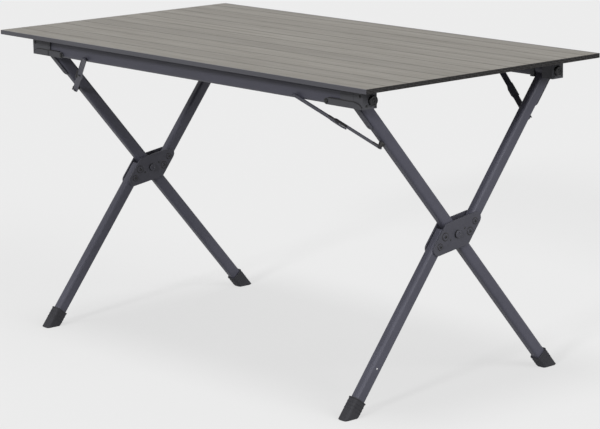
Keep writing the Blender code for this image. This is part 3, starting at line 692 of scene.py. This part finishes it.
# lock and clip run along the link from its pivot, rivets are (seat, radius, rise)
# and the ear is (radius, share of its height)
stayLook = {"halfWidth": 0.0066, "thick": 0.002, "stackGap": 0.0003, "over": 0.00008, "edge": 0.0004,
            "rim": 0.0009, "rimFoot": 0.0003, "rimCrown": 0.0002, "rimInner": 0.0009, "rimFloor": 0.0013,
            "lock": (-0.026, 0.021), "lockRise": 0.0011, "lockEdge": 0.0003, "wedgeDrop": 0.0026,
            "wedgeLap": 0.0004, "wedgeFoot": (0.55, 0.35), "stopLap": 0.0010, "stopRise": 0.0012,
            "stopSlope": 0.002, "stopOver": 0.0004, "clip": (-0.006, 0.017), "clipRise": 0.0008,
            "middleRivet": (0.0048, 0.0034, 0.0010), "legRivet": (0.0021, 0.0036, 0.0011),
            "standoff": {"front": 0.0098, "back": 0.0015}, "earGap": 0.0004, "earSink": 0.0004, "earCount": 28,
            "ear": ((0.0068, 0.2), (0.0060, 0.35), (0.0050, 0.75), (0.0046, 1.0))}


def barOutline(length, half, steps=8):
    # a bar along u with full round ends
    points = []
    for centre, first in ((length, -math.pi / 2), (0, math.pi / 2)):
        points += [(centre + half * math.cos(first + math.pi * step / steps),
                    half * math.sin(first + math.pi * step / steps)) for step in range(steps + 1)]
    return points


def panRings(outline, low, high, axes):
    # a plate whose edge stands up round a flat floor
    look = stayLook
    foot, crown, top = look["rimFoot"], look["rimCrown"], high + look["rim"]
    return insetRings(outline, ((foot, low), (0.0, low + foot), (0.0, top - crown), (crown, top),
                                (look["rimInner"], top), (look["rimFloor"], high)), axes)


def wedgeOutline():
    look = stayLook
    low, high = look["lock"]
    lap, foot = look["wedgeLap"] - look["halfWidth"], -look["halfWidth"] - look["wedgeDrop"]
    return [(low, lap), (low * look["wedgeFoot"][0], foot), (high * look["wedgeFoot"][1], foot), (high, lap)]


def stopOutline(low, high, lowSlope):
    # a lug on the link's top edge
    look = stayLook
    lap, crown = look["halfWidth"] - look["stopLap"], look["halfWidth"] + look["stopRise"]
    return [(high, lap), (high - look["stopSlope"], crown), (low + lowSlope, crown), (low, lap)]


def addStayDetail(side, end):
    look = stayLook
    place = f"{side}_{end}"
    legLink, railLink = "stay_leg_link_" + place, "stay_rail_link_" + place
    legEnd, middle = jointAt(legLink + "_pivot"), jointAt(railLink + "_pivot")
    normal = Vector(joints[railLink + "_pivot"]["axis"])
    if normal.y * sides[side] < 0:
        normal = -normal
    along = (middle - legEnd).normalized()
    link = barOutline((middle - legEnd).length, look["halfWidth"])
    axes = axesAt(middle, along, normal)
    legAxes = axesAt(legEnd, along, normal)

    def upright(outline):
        # turned over where the link's second axis points down
        return outline if axes.col[1].z > 0 else [(u, -v) for u, v in reversed(outline)]

    # the leg link lies in the joint's plane and the rail link on top of it
    half, thick, over = look["thick"] / 2, look["thick"], look["over"]
    seat = half + look["stackGap"]
    top = seat + thick + look["lockRise"]
    addPiece("stay_leg_channel_" + place,
             [slabRings(link, -half - over, half + over, legAxes, look["edge"])], "frame", legLink)
    addPiece("stay_rail_channel_" + place,
             [panRings(link, seat - over, seat + thick + over, axes)], "frame", railLink)
    addPiece("stay_lock_" + place,
             [slabRings(upright(wedgeOutline()), seat, top, axes, look["lockEdge"])], "frame", railLink)
    stop = upright(stopOutline(*look["lock"], look["stopSlope"]))
    addPiece("stay_stop_" + place,
             [slabRings(stop, seat, top + look["stopOver"], axes, look["lockEdge"])], "end", railLink)
    addPiece("stay_rivet_" + place, [rivetRings(axes, *look["middleRivet"])], "steel", legLink)
    addPiece("stay_leg_rivet_" + place, [rivetRings(legAxes, *look["legRivet"])], "steel", legLink)
    clip = upright(stopOutline(*look["clip"], 0.0))
    addPiece("stay_clip_" + place,
             [slabRings(clip, -half, half + look["clipRise"], legAxes, look["lockEdge"])], "end", legLink)
    # the ear is the seat on the leg that the stay's lower pin stands in
    tall = look["standoff"][side] - look["earGap"]
    ear = [(look["ear"][0][0], -look["earSink"])] + [(radius, tall * share) for radius, share in look["ear"]]
    addPiece("stay_ear_" + place,
             [turnedRings(ear, legAxes, -half - look["standoff"][side], look["earCount"])], "end",
             legBody(upperLeg[side], end))


for side, end in tableCorners:
    addStayDetail(side, end)
print("stay details: 32")


# feet and tube ends

# hoops are (distance under the foot's top edge, rise, height)
footLook = {"width": 0.027, "depth": 0.033, "corner": 0.006, "length": 0.046,
            "hoops": ((-0.0006, 0.0011, 0.0030), (0.0090, 0.0007, 0.0024), (0.0165, 0.0007, 0.0024),
                      (0.0240, 0.0007, 0.0024)),
            "sink": 0.0012, "edge": 0.0003, "shoulder": 0.6, "crown": (0.35, 0.65)}
plugLook = {"gap": 0.0135, "clearance": 0.0004,
            "rings": ((0.0008, -0.012), (0.0, -0.010), (0.0, -0.0002), (0.0012, 0.0005), (0.003, 0.0005))}
rivetDot = {"height": 0.098, "radius": 0.0022, "rise": 0.0009}


def addFootHoops(name, kind, end):
    look = footLook
    start, down, _ = legLine(kind, end)
    axes = axesAt(start, (1, 0, 0), down)
    outline = roundedBox(look["width"], look["depth"], look["corner"])
    stacks = []
    for under, rise, tall in look["hoops"]:
        level = start.z / -down.z - look["length"] + under
        sink, edge, shoulder = look["sink"], look["edge"], -rise * look["shoulder"]
        low, high = (level + tall * share for share in look["crown"])
        stacks.append(insetRings(outline, ((sink, level), (shoulder, level + edge), (-rise, low), (-rise, high),
                                           (shoulder, level + tall - edge), (sink, level + tall)), axes))
    addPiece(name + "_ribs", stacks, "foot", legBody(kind, end), 50.0, hoops=True)


def addTubePlug(name, line, level, way, body):
    # a moulded plug in an open tube end, whose opening faces down the leg for way 1 and up for way -1
    start, down, _ = line
    axes = axesAt(start, (1, 0, 0), down)
    wall = legLook["wall"]
    outline = roundedBox(legLook["width"] - 2 * wall - plugLook["clearance"],
                         legLook["depth"] - 2 * wall - plugLook["clearance"], legLook["corner"] - wall)
    rings = [(distance, level + way * height) for distance, height in plugLook["rings"]]
    addPiece(name, [insetRings(outline, rings, axes)], "end", body)


def addLegEnds(end):
    addFootHoops("foot_front_" + end, "lower", end)
    addFootHoops("foot_back_" + end, "straight", end)
    body = legBody("lower", end)
    upper, lower = legLine("upper", end), legLine("lower", end)
    toHub = (jointAt("hub_pivot_" + end) - bracketPivot("back", end)).dot(upper[1])
    addTubePlug("plug_upper_" + end, upper, toHub - plugLook["gap"], 1, body)
    addTubePlug("plug_lower_" + end, lower, plugLook["gap"], -1, body)
    # one plain rivet low on the lower tube's outer face
    start, down, _ = lower
    spot = start + down * ((start.z - rivetDot["height"]) / -down.z)
    seat = abs(start.x) + legLook["width"] / 2 - headSink
    rings = rivetRings(endAxes(end, spot.y, spot.z), seat, rivetDot["radius"], rivetDot["rise"])
    addPiece("leg_rivet_" + end, [rings], "bright", body)


for end in ends:
    addLegEnds(end)
print("feet and tube ends: 10")


# floor, lamps, camera

roomLook = {"size": 40.0, "floorColour": (0.60, 0.60, 0.60), "bounceColour": (0.20, 0.20, 0.20),
            "floorRoughness": 0.9, "paperGlow": 0.94, "shadowShare": 0.34, "backColour": (0.832, 0.832, 0.832),
            "worldLevel": 0.28}
lamps = {
    "key": {"from": (-0.25, -0.45, 5.0), "strength": 1.24, "spread": 20.0},
    "front": {"from": (1.1, -3.6, 1.55), "strength": 1.55, "spread": 8.0},
    "side": {"from": (4.0, 0.5, 2.1), "strength": 1.52, "spread": 36.0},
}
cameraLook = {"location": (4.2627, -3.6605, 1.5146), "azimuth": 49.093, "elevation": 12.053, "roll": -0.825,
              "lens": 147.42, "sensor": 36.0, "reach": 200.0}


def seenRays(tree):
    # 1 for rays that show the room: camera, glossy and transmission rays
    path = linkedNode(tree, "ShaderNodeLightPath")
    return calc(tree, "MAXIMUM", path.outputs["Is Camera Ray"],
                calc(tree, "MAXIMUM", path.outputs["Is Glossy Ray"], path.outputs["Is Transmission Ray"]))


def addFloor():
    mesh = bpy.data.meshes.new("studio_floor")
    half = roomLook["size"] / 2
    mesh.from_pydata([(-half, -half, 0), (half, -half, 0), (half, half, 0), (-half, half, 0)], [],
                     [(0, 1, 2, 3)])
    floor = bpy.data.objects.new("studio_floor", mesh)
    bpy.context.scene.collection.objects.link(floor)
    material, tree, shader = startMaterial("studio_floor_paper")
    shader.inputs["Roughness"].default_value = roomLook["floorRoughness"]
    shader.inputs["Specular IOR Level"].default_value = 0.0
    # part of what is seen of it is the plain backdrop tone, the rest keeps the shadow
    seen = seenRays(tree)
    paper = mixColours(tree, seen, roomLook["bounceColour"], roomLook["floorColour"])
    tree.links.new(paper, shader.inputs["Base Color"])
    share = calc(tree, "MULTIPLY", seen, 1.0 - roomLook["shadowShare"])
    glow = linkedNode(tree, "ShaderNodeEmission",
                      {"Color": (1.0, 1.0, 1.0, 1.0), "Strength": roomLook["paperGlow"]})
    mixed = linkedNode(tree, "ShaderNodeMixShader", links={0: share, 1: shader.outputs[0], 2: glow.outputs[0]})
    tree.links.new(mixed.outputs[0], tree.nodes["Material Output"].inputs["Surface"])
    mesh.materials.append(material)


def addLamps():
    for name, look in lamps.items():
        data = bpy.data.lights.new(name + "_lamp", "SUN")
        data.energy = look["strength"]
        data.angle = math.radians(look["spread"])
        lamp = bpy.data.objects.new(name + "_lamp", data)
        lamp.rotation_euler = Vector(look["from"]).to_track_quat("Z", "Y").to_euler()
        bpy.context.scene.collection.objects.link(lamp)


def addWorld():
    world = bpy.data.worlds.new("studio")
    world.use_nodes = True
    bpy.context.scene.world = world
    tree = world.node_tree
    light = tree.nodes["Background"]
    light.inputs["Color"].default_value = (1.0, 1.0, 1.0, 1.0)
    light.inputs["Strength"].default_value = roomLook["worldLevel"]
    back = linkedNode(tree, "ShaderNodeBackground", {"Color": (*roomLook["backColour"], 1.0), "Strength": 1.0})
    mixed = linkedNode(tree, "ShaderNodeMixShader",
                       links={0: seenRays(tree), 1: light.outputs[0], 2: back.outputs[0]})
    tree.links.new(mixed.outputs[0], tree.nodes["World Output"].inputs["Surface"])


def addCamera(look):
    azimuth, elevation, roll = (math.radians(look[key]) for key in ("azimuth", "elevation", "roll"))
    back = Vector((math.sin(azimuth) * math.cos(elevation), -math.cos(azimuth) * math.cos(elevation),
                   math.sin(elevation)))
    right = Vector((math.cos(azimuth), math.sin(azimuth), 0))
    up = back.cross(right)
    turnedRight = right * math.cos(roll) + up * math.sin(roll)
    turnedUp = up * math.cos(roll) - right * math.sin(roll)
    data = bpy.data.cameras.new("photo_camera")
    data.lens = look["lens"]
    data.sensor_width = look["sensor"]
    data.sensor_fit = "HORIZONTAL"
    data.clip_end = look["reach"]
    camera = bpy.data.objects.new("photo_camera", data)
    camera.matrix_world = Matrix((turnedRight, turnedUp, back)).transposed().to_4x4()
    camera.location = look["location"]
    bpy.context.scene.collection.objects.link(camera)
    bpy.context.scene.camera = camera


addFloor()
addLamps()
addWorld()
addCamera(cameraLook)
bpy.context.scene.view_settings.view_transform = "Standard"
print("floor, lamps and camera set")
